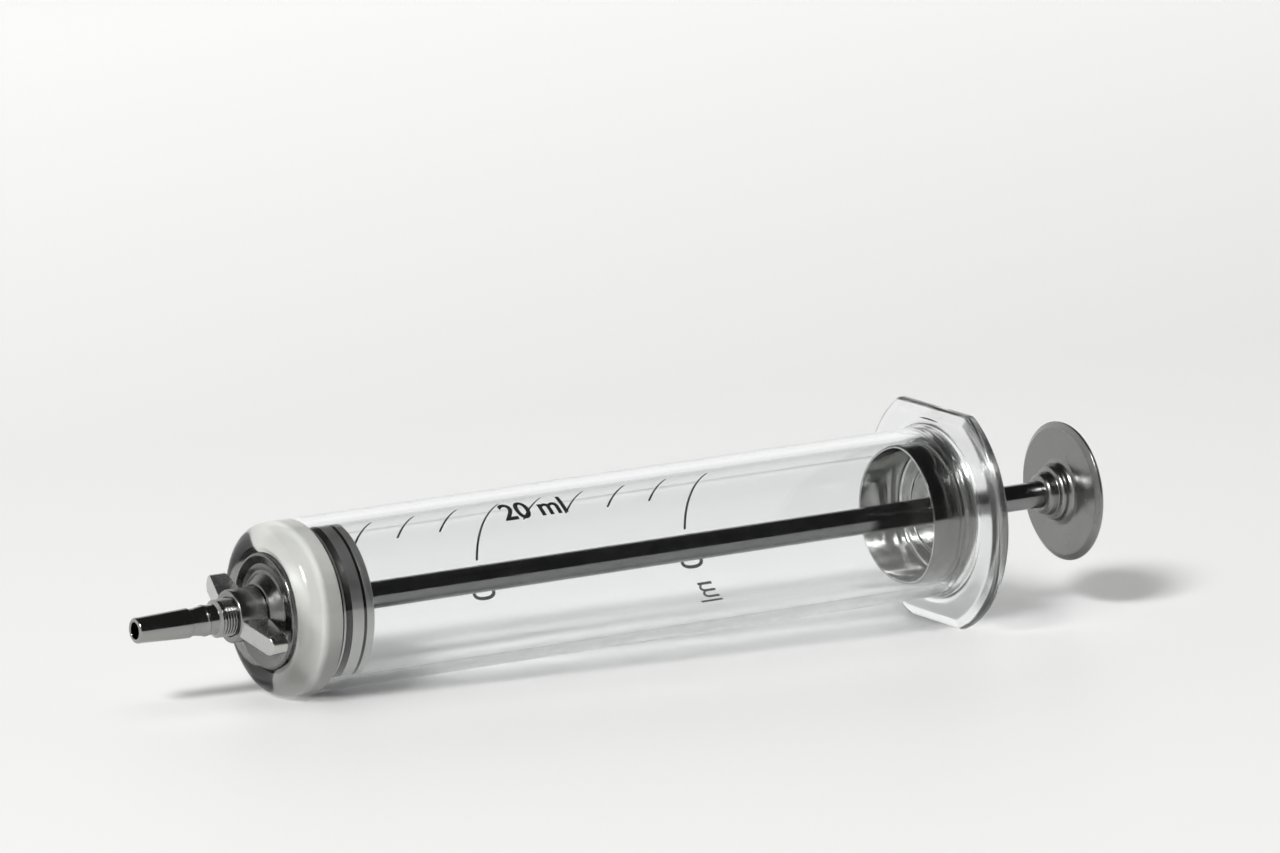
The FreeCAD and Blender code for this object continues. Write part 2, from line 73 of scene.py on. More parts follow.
# Adds a node, sets its properties or sockets, and links its inputs
def addNode(tree, kind, settings=None, links=None):
    node = tree.nodes.new(kind)
    for name, value in (settings or {}).items():
        if isinstance(name, int) or name in node.inputs:
            node.inputs[name].default_value = value
        else:
            setattr(node, name, value)
    for name, source in (links or {}).items():
        tree.links.new(source, node.inputs[name])
    return node


# An empty node material, returned with its tree
def newMaterial(name):
    material = bpy.data.materials.new(name)
    material.use_nodes = True
    material.node_tree.nodes.clear()
    return material, material.node_tree


# Each corner of a section in station and radius gives way to an arc that touches both its sides:
# the arc's centre lies its radius inside both, and the arc turns through the corner's own angle.
# The section runs with its outside on the left. Returns points, outward normals and corner numbers.
def roundedSection(corners, arcSteps):
    data = np.array(corners, float)
    points, rounding = data[:, :2], data[:, 2]
    inward = points - np.roll(points, 1, 0)
    outward = np.roll(points, -1, 0) - points
    inward /= np.linalg.norm(inward, axis=1)[:, None]
    outward /= np.linalg.norm(outward, axis=1)[:, None]
    turn = np.arctan2(inward[:, 0] * outward[:, 1] - inward[:, 1] * outward[:, 0],
                      (inward * outward).sum(1))
    side = np.where(turn < 0, 1.0, -1.0)
    firstNormal = np.stack([-inward[:, 1], inward[:, 0]], 1)
    start = points - inward * (rounding * np.abs(np.tan(turn / 2)))[:, None]
    centre = start - firstNormal * (side * rounding)[:, None]
    angle = (np.arctan2(firstNormal[:, 1], firstNormal[:, 0])[:, None]
             + turn[:, None] * np.linspace(0, 1, arcSteps))
    normals = np.stack([np.cos(angle), np.sin(angle)], -1)
    ring = centre[:, None, :] + normals * (side * rounding)[:, None, None]
    corner = np.repeat(np.arange(len(corners)), arcSteps)
    onAxis = points[:, 1] == 0
    keep = np.ones((len(corners), arcSteps), bool)
    keep[onAxis] = False
    keep[0, -1] = keep[-1, 0] = True
    keep = keep.ravel()
    return ring.reshape(-1, 2)[keep], normals.reshape(-1, 2)[keep], corner[keep]


# Rows of a section carried round a full turn, each joined to the next by a ring of faces. Where the
# section is open, its first and last row are single points on the axis.
def meshFromRows(name, positions, normals, closedSection):
    rows, sides = positions.shape[:2]
    index = np.arange(rows * sides).reshape(rows, sides)
    if not closedSection:
        index[0, :] = index[0, 0]
        index[-1, :] = index[-1, 0]
    following = np.roll(index, -1, 0) if closedSection else index[1:]
    current = index if closedSection else index[:-1]
    quads = np.stack([current, np.roll(current, -1, 1), np.roll(following, -1, 1), following], -1)
    quads = quads.reshape(-1, 4)
    used, compact = np.unique(quads, return_inverse=True)
    quads = compact.reshape(-1, 4)
    points = positions.reshape(-1, 3)[used]
    pointNormals = normals.reshape(-1, 3)[used]
    startsAtPole = quads[:, 0] == quads[:, 1]
    endsAtPole = quads[:, 2] == quads[:, 3]
    faces = quads[~(startsAtPole | endsAtPole)].tolist()
    faces += quads[startsAtPole][:, 1:].tolist()
    faces += quads[endsAtPole][:, :3].tolist()
    mesh = bpy.data.meshes.new(name)
    mesh.from_pydata(points.tolist(), [], faces)
    mesh.polygons.foreach_set("use_smooth", np.ones(len(mesh.polygons), bool))
    mesh.normals_split_custom_set_from_vertices(pointNormals.tolist())
    piece = bpy.data.objects.new(name, mesh)
    bpy.context.scene.collection.objects.link(piece)
    return piece


# A section turned about the syringe's axis: far is radius times cosine, up is radius times sine.
# A relief, where given, lowers the radius of rows added at its stations by a function of station
# and turn, and tips their normals by its slopes.
def turnedPiece(name, corners, arcSteps=6, sides=160, relief=None, reliefStations=None):
    section, flatNormals, _ = roundedSection(corners, arcSteps)
    closedSection = not (section[0, 1] == 0 and section[-1, 1] == 0)
    if reliefStations is not None:
        facesOut = flatNormals[:, 1] > 0.99
        before = np.flatnonzero((section[:, 0] < reliefStations[0]) & facesOut).max() + 1
        extra = np.stack([reliefStations, np.full(len(reliefStations), section[before - 1, 1])], 1)
        section = np.insert(section, before, extra, 0)
        flatNormals = np.insert(flatNormals, before, np.tile([0.0, 1.0], (len(extra), 1)), 0)
    angle = np.linspace(0, 2 * np.pi, sides, endpoint=False)
    station = np.repeat(section[:, :1], sides, 1)
    radius = np.repeat(section[:, 1:], sides, 1)
    alongNormal = np.repeat(flatNormals[:, :1], sides, 1)
    outNormal = np.repeat(flatNormals[:, 1:], sides, 1)
    aroundNormal = np.zeros_like(outNormal)
    if reliefStations is not None:
        rows = slice(before, before + len(reliefStations))
        step = 1e-3  # for the slopes, as half the difference on both sides
        here = station[rows]
        radius[rows] -= relief(here, angle[None])
        ahead, behind = relief(here + step, angle[None]), relief(here - step, angle[None])
        alongNormal[rows] = (ahead - behind) / (2 * step)
        ahead, behind = relief(here, angle[None] + step), relief(here, angle[None] - step)
        aroundNormal[rows] = (ahead - behind) / (2 * step)
        aroundNormal[rows] /= radius[rows]
    cosine, sine = np.cos(angle)[None], np.sin(angle)[None]
    positions = place(station, radius * cosine, radius * sine)
    normals = (alongNormal[..., None] * alongAxis
               + (outNormal * cosine - aroundNormal * sine)[..., None] * farSide
               + (outNormal * sine + aroundNormal * cosine)[..., None] * upAcross)
    normals /= np.linalg.norm(normals, axis=-1)[..., None]
    return meshFromRows(name, positions, normals, closedSection)


# Gives a piece its one material, the body it rides on and the nodes it stands for
def finishPiece(piece, body, nodes, material):
    piece.data.materials.clear()
    piece.data.materials.append(material)
    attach(piece, body)
    if nodes:
        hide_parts(*nodes)
    return piece


# Borosilicate glass, drawn and fire polished: clear, nearly colourless, hard bright reflections
# and a slight waviness and dullness where the flange and the lip were formed by hand in the flame
glassFinish = {
    "colour": "FDFEFE",
    "ior": 1.473,
    "gloss": 0.3,
    "flangeWork": (0.044, 0.050),  # metres along the frame, from plain tube to hand-formed glass
    "lipWork": (-0.047, -0.051),
    "waveMm": 7.0,
    "waveStrength": 0.15,
    "waveHeight": 0.0012,
    "dullness": 0.14,
    "shadowColour": "FCFDFD",
    "shadowFresnel": (0.035, 0.9),
    "shadowClearness": (0.98, 0.5),  # light let through where it meets the glass straight and at a slant
}
glass, tree = newMaterial("borosilicateFirePolished")
glassOwn = addNode(tree, "ShaderNodeTexCoord").outputs["Object"]
glassParts = addNode(tree, "ShaderNodeSeparateXYZ", links={0: glassOwn})
nearFlange = addNode(tree, "ShaderNodeMapRange", {
    "interpolation_type": "SMOOTHSTEP", "From Min": glassFinish["flangeWork"][0],
    "From Max": glassFinish["flangeWork"][1]}, {"Value": glassParts.outputs["X"]})
nearLip = addNode(tree, "ShaderNodeMapRange", {
    "interpolation_type": "SMOOTHSTEP", "From Min": glassFinish["lipWork"][0],
    "From Max": glassFinish["lipWork"][1]}, {"Value": glassParts.outputs["X"]})
handFormed = addNode(tree, "ShaderNodeMath", {"operation": "MAXIMUM"},
                     {0: nearFlange.outputs[0], 1: nearLip.outputs[0]})
waves = addNode(tree, "ShaderNodeTexNoise", {
    "Scale": 1000 / glassFinish["waveMm"], "Detail": 1.0, "Roughness": 0.4}, {"Vector": glassOwn})
waveHeight = addNode(tree, "ShaderNodeMath", {"operation": "MULTIPLY"},
                     {0: waves.outputs["Fac"], 1: handFormed.outputs[0]})
glassBump = addNode(tree, "ShaderNodeBump", {
    "Strength": glassFinish["waveStrength"], "Distance": glassFinish["waveHeight"]},
    {"Height": waveHeight.outputs[0]})
dullness = addNode(tree, "ShaderNodeMath", {"operation": "MULTIPLY", 1: glassFinish["dullness"]},
                   {0: handFormed.outputs[0]})
glassShader = addNode(tree, "ShaderNodeBsdfPrincipled", {
    "Base Color": linear(glassFinish["colour"]), "IOR": glassFinish["ior"], "Transmission Weight": 1.0,
    "Specular IOR Level": glassFinish["gloss"]},
    {"Normal": glassBump.outputs[0], "Roughness": dullness.outputs[0]})
# Shadow rays pass through the glass, and fewer of them where they meet it at a slant
shadowPath = addNode(tree, "ShaderNodeLightPath")
clearShader = addNode(tree, "ShaderNodeBsdfTransparent", {"Color": linear(glassFinish["shadowColour"])})
grazing = addNode(tree, "ShaderNodeFresnel", {"IOR": glassFinish["ior"]})
clearness = addNode(tree, "ShaderNodeMapRange", {
    "From Min": glassFinish["shadowFresnel"][0], "From Max": glassFinish["shadowFresnel"][1],
    "To Min": glassFinish["shadowClearness"][0], "To Max": glassFinish["shadowClearness"][1]},
    {"Value": grazing.outputs[0]})
softShadow = addNode(tree, "ShaderNodeMath", {"operation": "MULTIPLY"},
                     {0: shadowPath.outputs["Is Shadow Ray"], 1: clearness.outputs[0]})
glassMix = addNode(tree, "ShaderNodeMixShader", links={
    0: softShadow.outputs[0], 1: glassShader.outputs[0], 2: clearShader.outputs[0]})
addNode(tree, "ShaderNodeOutputMaterial", links={"Surface": glassMix.outputs[0]})


# Real turning marks lie under 0.1 mm apart, too fine to show here, so each metal's marks are drawn
# 0.25 to 0.6 mm apart
metalWear = {
    "hazeMm": 2.5,
    "hazeSpread": (0.35, 0.7),  # noise levels from the smoothest to the dullest plate
    "stainSpread": (0.52, 0.75),
    "markHeight": 0.00002,
    "turnShare": 0.002,  # how little the marks change round the axis
    "stainColour": "5E5C59",
    # colour of the painted shade laid in grooves and in the gap behind the gasket
    "paintedShadeColour": "262524",
    "tarnishColour": "7C7C7A",
}


# Metal turned on a lathe: fine marks run round the axis, as a noise of station and radius that
# hardly changes with the turn, and a soft haze of handling lies over them. Painted shade darkens
# the stretches between the given stations, where grooves and gaps lie in shade, and whatever lies
# beyond the given radius is tarnished.
def turnedMetal(name, colour, roughness, wear, markMm, markDepth, stain, paintedShadeStations=(),
                tarnishFrom=None):
    material, tree = newMaterial(name)
    own = addNode(tree, "ShaderNodeTexCoord").outputs["Object"]
    level = addNode(tree, "ShaderNodeMapping", {
        "vector_type": "TEXTURE", "Location": Vector(tipPoint.tolist()),
        "Rotation": (0.0, -math.asin(alongAxis[2]), 0.0)}, {"Vector": own})
    parts = addNode(tree, "ShaderNodeSeparateXYZ", links={0: level.outputs[0]})
    across = addNode(tree, "ShaderNodeCombineXYZ", links={"Y": parts.outputs["Y"], "Z": parts.outputs["Z"]})
    radius = addNode(tree, "ShaderNodeVectorMath", {"operation": "LENGTH"}, {0: across.outputs[0]})
    turn = addNode(tree, "ShaderNodeMath", {"operation": "ARCTAN2"},
                   {0: parts.outputs["Z"], 1: parts.outputs["Y"]})
    slowTurn = addNode(tree, "ShaderNodeMath", {"operation": "MULTIPLY", 1: metalWear["turnShare"]},
                       {0: turn.outputs[0]})
    polar = addNode(tree, "ShaderNodeCombineXYZ", links={
        "X": parts.outputs["X"], "Y": radius.outputs["Value"], "Z": slowTurn.outputs[0]})
    marks = addNode(tree, "ShaderNodeTexNoise", {"Scale": 1000 / markMm, "Detail": 3.0, "Roughness": 0.7},
                    {"Vector": polar.outputs[0]})
    haze = addNode(tree, "ShaderNodeTexNoise", {
        "Scale": 1000 / metalWear["hazeMm"], "Detail": 5.0, "Roughness": 0.65}, {"Vector": own})
    gloss = addNode(tree, "ShaderNodeMapRange", {
        "From Min": metalWear["hazeSpread"][0], "From Max": metalWear["hazeSpread"][1],
        "To Min": roughness * (1 - wear), "To Max": roughness * (1 + wear)}, {"Value": haze.outputs["Fac"]})
    bump = addNode(tree, "ShaderNodeBump", {"Strength": markDepth, "Distance": metalWear["markHeight"]},
                   {"Height": marks.outputs["Fac"]})
    stained = addNode(tree, "ShaderNodeMapRange", {
        "From Min": metalWear["stainSpread"][0], "From Max": metalWear["stainSpread"][1],
        "To Min": 0.0, "To Max": stain}, {"Value": haze.outputs["Fac"]})
    tone = addNode(tree, "ShaderNodeMix", {
        "data_type": "RGBA", 6: linear(colour), 7: linear(metalWear["stainColour"])}, {0: stained.outputs[0]})
    colourSource = tone.outputs[2]
    # each pair of stations is a stretch of painted shade
    for shadeFrom, shadeTo in paintedShadeStations:
        inShade = addNode(tree, "ShaderNodeMath", {
            "operation": "COMPARE", 1: (shadeFrom + shadeTo) / 2000, 2: (shadeTo - shadeFrom) / 2000},
            {0: parts.outputs["X"]})
        shadeMix = addNode(tree, "ShaderNodeMix", {"data_type": "RGBA", 7: linear(metalWear["paintedShadeColour"])},
                        {0: inShade.outputs[0], 6: colourSource})
        colourSource = shadeMix.outputs[2]
    if tarnishFrom is not None:
        beyond = addNode(tree, "ShaderNodeMath", {"operation": "GREATER_THAN", 1: tarnishFrom / 1000},
                         {0: radius.outputs["Value"]})
        tarnished = addNode(tree, "ShaderNodeMix", {
            "data_type": "RGBA", 7: linear(metalWear["tarnishColour"])},
            {0: beyond.outputs[0], 6: colourSource})
        colourSource = tarnished.outputs[2]
    shader = addNode(tree, "ShaderNodeBsdfPrincipled", {"Metallic": 1.0}, {
        "Base Color": colourSource, "Roughness": gloss.outputs[0], "Normal": bump.outputs[0]})
    addNode(tree, "ShaderNodeOutputMaterial", links={"Surface": shader.outputs[0]})
    return material


# Nickel plate over turned brass: bright and mirror-like on the nozzle
nickelBright = turnedMetal("nickelPlateBright", "9C9C9A", roughness=0.16, wear=0.35, markMm=0.35,
                           markDepth=0.12, stain=0.25)
# The same plate where fingers hold it: greyer and softer
nickelHandled = turnedMetal("nickelPlateHandled", "8A8A89", roughness=0.25, wear=0.15, markMm=0.3,
                            markDepth=0.1, stain=0.05)
# And where it is thin and stained, in the dished washer: darker, with the brass's warmth gone grey
nickelStained = turnedMetal("nickelPlateStained", "747472", roughness=0.24, wear=0.4, markMm=0.25,
                            markDepth=0.2, stain=0.55)
# And inside the guide cap, where nothing rubs: mirror-like, with its outside tarnished by the glass
nickelInside = turnedMetal("nickelPlateInside", "CACAC8", roughness=0.12, wear=0.5, markMm=0.3,
                           markDepth=0.12, stain=0.3, tarnishFrom=9.2)
# Painted light: the wings are the hub's own nickel plate, made paler so their faces reflect brighter
nickelPaintedLight = turnedMetal("nickelPlatePaintedLight", "C0C0BE", roughness=0.28, wear=0.2, markMm=0.3,
                          markDepth=0.1, stain=0.1)
# Drawn stainless steel: it mirrors the dark room and is slightly dull
steelDrawn = turnedMetal("steelDrawnRod", "858585", roughness=0.18, wear=0.25, markMm=0.6,
                         markDepth=0.05, stain=0.15)
# Piston ground and lapped to the bore: pale and satin, so it gathers the light of the whole room
steelLapped = turnedMetal("steelLappedPiston", "BDBDBB", roughness=0.42, wear=0.1, markMm=0.25,
                          markDepth=0.25, stain=0.1,
                          # painted shade: the gap behind the gasket, the sloped front and the rear groove
                          paintedShadeStations=((25.0, 25.2), (25.5, 26.4), (28.1, 28.52)))

# Silicone rubber, moulded and milky: light goes a little way in and comes out soft
silicone, tree = newMaterial("siliconeMilky")
siliconeShader = addNode(tree, "ShaderNodeBsdfPrincipled", {
    "Base Color": linear("B6B6B2"), "Roughness": 0.4, "IOR": 1.41,
    "Subsurface Weight": 0.5, "Subsurface Scale": 0.001, "Subsurface Radius": (1.0, 1.0, 1.0)})
addNode(tree, "ShaderNodeOutputMaterial", links={"Surface": siliconeShader.outputs[0]})

# Black enamel, printed and fired into the glass: flat black with a faint gloss
enamel, tree = newMaterial("enamelFiredBlack")
enamelShader = addNode(tree, "ShaderNodeBsdfPrincipled", {"Base Color": linear("161616"), "Roughness": 0.55})
addNode(tree, "ShaderNodeOutputMaterial", links={"Surface": enamelShader.outputs[0]})

print("materials made")

# Glass barrel: the wall's section carried round, with the flange following its two flats
barrel = {
    "outsideRadius": 11.45,
    "boreRadius": 9.9,
    "lipStation": 19.1,
    "lipRadius": 2.1,
    "shoulderStation": 22.1,
    "flangeFront": 122.0,
    "rearStation": 124.0,
    "flangeRadius": 16.5,
    "flatAbove": 14.2,
    "flatBelow": 15.3,
    "flangeEdge": 0.65,
    "frontFall": 1.5,  # the front face falls away before the rim
    "frontDepth": 0.55,
    "frontRound": 1.6,
    "flangeRoot": 1.2,
    "cornerRound": 1.8,
    "boreMouth": 0.6,
    "shoulderRound": 1.0,
    "openingRound": 0.5,
    "sides": 288,
}


# Distance of the flange's outline from the axis at each turn, and its normal: a circle cut by two
# flats, with an arc of the corner radius that touches both. The last two values are the elevations
# where the circle gives way to the arc and the arc to the flat.
def flangeOutline(angle):
    across, upward = np.abs(np.cos(angle)), np.abs(np.sin(angle))
    height = np.where(np.sin(angle) > 0, barrel["flatAbove"], barrel["flatBelow"])
    corner = barrel["cornerRound"]
    arcCircle = barrel["flangeRadius"] - corner
    centreUp = height - corner
    centreAcross = np.sqrt(arcCircle ** 2 - centreUp ** 2)
    polar = np.arctan2(upward, across)
    flatFrom, circleTo = np.arctan2(height, centreAcross), np.arctan2(centreUp, centreAcross)
    along = across * centreAcross + upward * centreUp
    arcReach = along + np.sqrt(np.maximum(along ** 2 - arcCircle ** 2 + corner ** 2, 0))
    distance = np.where(polar < circleTo, barrel["flangeRadius"],
                        np.where(polar > flatFrom, height / np.maximum(upward, 0.1), arcReach))
    normalAcross = np.where(polar < circleTo, across,
                            np.where(polar > flatFrom, 0, (distance * across - centreAcross) / corner))
    normalUp = np.where(polar < circleTo, upward,
                        np.where(polar > flatFrom, 1, (distance * upward - centreUp) / corner))
    normalFar, normalUp = normalAcross * np.sign(np.cos(angle)), normalUp * np.sign(np.sin(angle))
    return distance, normalFar, normalUp, circleTo, flatFrom


# The section's rows turn on circles, apart from the flange's rim, whose rows follow its outline
def makeGlassBarrel():
    lipInside = barrel["outsideRadius"] - 2 * barrel["lipRadius"]
    corners = [
        (barrel["lipStation"], lipInside, barrel["lipRadius"]),
        (barrel["lipStation"], barrel["outsideRadius"], barrel["lipRadius"]),
        (barrel["flangeFront"], barrel["outsideRadius"], barrel["flangeRoot"]),
        (barrel["flangeFront"], barrel["flangeRadius"] - barrel["frontFall"], barrel["frontRound"]),
        (barrel["flangeFront"] + barrel["frontDepth"], barrel["flangeRadius"], barrel["flangeEdge"]),
        (barrel["rearStation"], barrel["flangeRadius"], barrel["flangeEdge"]),
        (barrel["rearStation"], barrel["boreRadius"], barrel["boreMouth"]),
        (barrel["shoulderStation"], barrel["boreRadius"], barrel["shoulderRound"]),
        (barrel["shoulderStation"], lipInside, barrel["openingRound"]),
    ]
    section, flatNormals, corner = roundedSection(corners, 16)
    # extra turns where the four corner arcs lie, so that they stay round
    arcFrom, arcTo = flangeOutline(np.array([1.0, -1.0]))[3:]
    above = np.linspace(arcFrom[0] - 0.01, arcTo[0] + 0.01, 9)
    below = np.linspace(arcFrom[1] - 0.01, arcTo[1] + 0.01, 9)
    uniform = np.linspace(0, 2 * np.pi, barrel["sides"], endpoint=False)
    angle = np.unique(np.round(np.concatenate(
        [uniform, above, np.pi - above, np.pi + below, 2 * np.pi - below]), 6))[None]
    cosine, sine = np.cos(angle), np.sin(angle)
    distance, normalFar, normalUp = flangeOutline(angle)[:3]
    onRim = np.isin(corner, [3, 4, 5])[:, None]
    station = section[:, :1] + 0 * angle
    inset = barrel["flangeRadius"] - section[:, 1:]
    far = np.where(onRim, distance * cosine - inset * normalFar, section[:, 1:] * cosine)
    up = np.where(onRim, distance * sine - inset * normalUp, section[:, 1:] * sine)
    outFar = np.where(onRim, normalFar, cosine) * flatNormals[:, 1:]
    outUp = np.where(onRim, normalUp, sine) * flatNormals[:, 1:]
    normals = ((flatNormals[:, :1] + 0 * angle)[..., None] * alongAxis
               + outFar[..., None] * farSide + outUp[..., None] * upAcross)
    normals /= np.linalg.norm(normals, axis=-1)[..., None]
    return meshFromRows("glassBarrel", place(station, far, up), normals, True)


finishPiece(makeGlassBarrel(), "barrel", ["glass_barrel"], glass)
print("glass barrel made")

# Printed scale on the far side: a mark every 2 ml, longer at 10 and 20, with figures that read down
scale = {
    "zeroStation": 25.1,
    "mlPerMark": 2,
    "markSpacing": 6.46,  # 2 ml in a bore of 19.8 mm
    "marks": 10,
    "longEvery": 5,
    "shortTurns": (29.0, 62.0),
    "longTurns": (-0.8, 62.0),
    "lineWidth": 0.36,
    "figureTurn": -7.0,
    "figureSize": 4.9,
    "figureShift": 0.4,  # the figures stand a little behind their mark
    "figureBoldness": 0.03,
    "unitTurn": -42.0,
    "unitSize": 4.8,
    "unitShift": 0.5,
    "bandWidth": 0.3,  # of the bands that let letters bend
    "depthInGlass": 0.012,  # fired into the surface, so it shows through the glass from every side
}
# Plain volume label on the near side
label = {"words": "20 ml", "station": 56.5, "turn": 128.0, "size": 4.3, "boldness": 0.1}


# Points on the barrel's outer surface, just inside the glass
def onBarrel(station, turn):
    radius = barrel["outsideRadius"] - scale["depthInGlass"]
    return place(station, radius * np.cos(turn), radius * np.sin(turn))


# Each mark is a strip round the barrel whose half width falls to nothing in a round at both ends
def makeScaleMarks():
    number = np.arange(1, scale["marks"] + 1)
    isLong = number % scale["longEvery"] == 0
    start = np.radians(np.where(isLong, scale["longTurns"][0], scale["shortTurns"][0]))
    end = np.radians(np.where(isLong, scale["longTurns"][1], scale["shortTurns"][1]))
    half = scale["lineWidth"] / 2
    share = (0.5 - 0.5 * np.cos(np.linspace(0, np.pi, 49)))[None]
    turn = start[:, None] + (end - start)[:, None] * share
    fromEnd = np.minimum(share, 1 - share) * (end - start)[:, None] * barrel["outsideRadius"]
    width = np.sqrt(np.maximum(half ** 2 - np.maximum(half - fromEnd, 0) ** 2, 1e-6))
    station = (scale["zeroStation"] + number * scale["markSpacing"])[:, None]
    rows = np.stack([onBarrel(station - width, turn), onBarrel(station + width, turn)], 2)
    index = np.arange(rows.size // 3).reshape(rows.shape[:3])
    quads = np.stack([index[:, :-1, 0], index[:, :-1, 1], index[:, 1:, 1], index[:, 1:, 0]], -1)
    mesh = bpy.data.meshes.new("scaleMarks")
    mesh.from_pydata(rows.reshape(-1, 3).tolist(), [], quads.reshape(-1, 4).tolist())
    marks = bpy.data.objects.new("scaleMarks", mesh)
    bpy.context.scene.collection.objects.link(marks)
    return marks


# A mesh's points, one row each
def meshPoints(mesh):
    flat = np.empty(len(mesh.vertices) * 3, np.float32)
    mesh.vertices.foreach_get("co", flat)
    return flat.reshape(-1, 3).astype(float)


# Flat letters made a mesh, cut into narrow bands, then bent round the barrel: a length across the
# bend is an angle times the barrel's radius.
def makeLetters(name, words, size, boldness, station, turn, readingRound):
    curve = bpy.data.curves.new(name, "FONT")
    curve.body = words
    curve.size = size
    curve.offset = boldness
    curve.resolution_u = 6
    curve.align_x = "LEFT" if readingRound else "CENTER"
    holder = bpy.data.objects.new(name + "Flat", curve)
    bpy.context.scene.collection.objects.link(holder)
    bpy.context.view_layer.update()
    mesh = bpy.data.meshes.new_from_object(holder.evaluated_get(bpy.context.evaluated_depsgraph_get()))
    bpy.data.objects.remove(holder)
    reach = meshPoints(mesh)[:, 0 if readingRound else 1]
    work = bmesh.new()
    work.from_mesh(mesh)
    direction = Vector((1, 0, 0)) if readingRound else Vector((0, 1, 0))
    for cut in np.arange(reach.min() + scale["bandWidth"], reach.max(), scale["bandWidth"]):
        bmesh.ops.bisect_plane(work, geom=work.verts[:] + work.edges[:] + work.faces[:],
                               plane_co=direction * float(cut), plane_no=direction, dist=1e-5)
    work.to_mesh(mesh)
    work.free()
    flat = meshPoints(mesh)
    if readingRound:
        middle = (flat[:, 1].min() + flat[:, 1].max()) / 2
        along, around = middle - flat[:, 1], flat[:, 0]
    else:
        along, around = flat[:, 0], flat[:, 1]
    bent = onBarrel(station + along, math.radians(turn) - around / barrel["outsideRadius"])
    mesh.vertices.foreach_set("co", bent.astype(np.float32).ravel())
    mesh.update()
    letters = bpy.data.objects.new(name, mesh)
    bpy.context.scene.collection.objects.link(letters)
    return letters


finishPiece(makeScaleMarks(), "barrel", [], enamel)
for volume in (10, 20):
    markStation = scale["zeroStation"] + volume / scale["mlPerMark"] * scale["markSpacing"]
    figures = makeLetters("figures" + str(volume), str(volume), scale["figureSize"], scale["figureBoldness"],
                          markStation + scale["figureShift"], scale["figureTurn"], True)
    finishPiece(figures, "barrel", [], enamel)
unit = makeLetters("unit", "ml", scale["unitSize"], scale["figureBoldness"],
                   markStation + scale["unitShift"], scale["unitTurn"], True)
finishPiece(unit, "barrel", [], enamel)
volumeLabel = makeLetters("volumeLabel", label["words"], label["size"], label["boldness"],
                          label["station"], label["turn"], False)
finishPiece(volumeLabel, "barrel", [], enamel)
print("scale and label printed")

# Front gasket: pressed against the glass, so it is drawn a hair inside it and looks wet through it
gasket = {
    "spigotFront": 20.3,
    "spigotRadius": 7.25,
    "flangeFront": 22.1,
    "flangeRadius": 9.9,
    "rear": 24.9,
    "recessFloor": 23.73,
    "recessRadius": 8.32,
    "holeRadius": 2.54,
    "contact": 0.015,
    "spigotRound": 0.3,
    "rootRound": 0.5,
    "flangeRound": 1.0,
    "rearEdge": 0.1,
    "edge": 0.15,
}
gasketFlangeFront = gasket["flangeFront"] - gasket["contact"]
gasketFlangeRadius = gasket["flangeRadius"] + gasket["contact"]
gasketSpigotRadius = gasket["spigotRadius"] + gasket["contact"]
gasketPiece = turnedPiece("frontGasket", [
    (gasket["spigotFront"], gasket["holeRadius"], gasket["edge"]),
    (gasket["spigotFront"], gasketSpigotRadius, gasket["spigotRound"]),
    (gasketFlangeFront, gasketSpigotRadius, gasket["rootRound"]),
    (gasketFlangeFront, gasketFlangeRadius, gasket["flangeRound"]),
    (gasket["rear"], gasketFlangeRadius, gasket["rearEdge"]),
    (gasket["rear"], gasket["recessRadius"], gasket["edge"]),
    (gasket["recessFloor"], gasket["recessRadius"], gasket["edge"]),
    (gasket["recessFloor"], gasket["holeRadius"], gasket["edge"]),
], arcSteps=8, sides=192)
finishPiece(gasketPiece, "barrel", ["front_gasket"], silicone)

# Nozzle: turned, with the fine thread that the wing nut runs on
nozzle = {
    "holeRadius": 1.1,
    "tipRadius": 1.675,
    "coneRadius": 1.975,
    "coneLength": 7.7,
    "neckRadius": 1.8,
    "neckRear": 8.6,
    "beadFront": 9.85,
    "beadRear": 10.3,
    "beadRadius": 2.075,
    "beadFoot": 1.99,
    "collarRadius": 2.0,
    "collarRear": 11.5,
    "threadRadius": 2.5,
    "plateFront": 23.75,
    "plateRear": 24.55,
    "plateRadius": 8.3,
    "threadPitch": 0.4,  # as fine as the ridges look, so finer than a common thread of this size
    "threadDepth": 0.24,
    "threadSharpness": 1.3,  # above 1, the grooves are narrower than the ridges
    "threadFront": 11.95,
    "threadRear": 20.4,
    "threadFade": 0.3,
    "rowsPerTurn": 14,
    "tipRound": 0.3,
    "neckRound": 0.4,
    "neckStep": 0.05,
    "beadStep": 0.08,
    "shankLead": 0.3,
    "edge": 0.1,
    "fineEdge": 0.05,
}


# A rounded V that repeats each pitch and runs round as a right-hand helix, fading in at its ends
def threadRelief(station, angle):
    phase = station / nozzle["threadPitch"] - angle / (2 * np.pi)
    groove = 0.5 - 0.5 * np.cos(2 * np.pi * phase)
    fadeIn = np.clip((station - nozzle["threadFront"]) / nozzle["threadFade"], 0, 1)
    fadeOut = np.clip((nozzle["threadRear"] - station) / nozzle["threadFade"], 0, 1)
    return nozzle["threadDepth"] * groove ** nozzle["threadSharpness"] * fadeIn * fadeOut


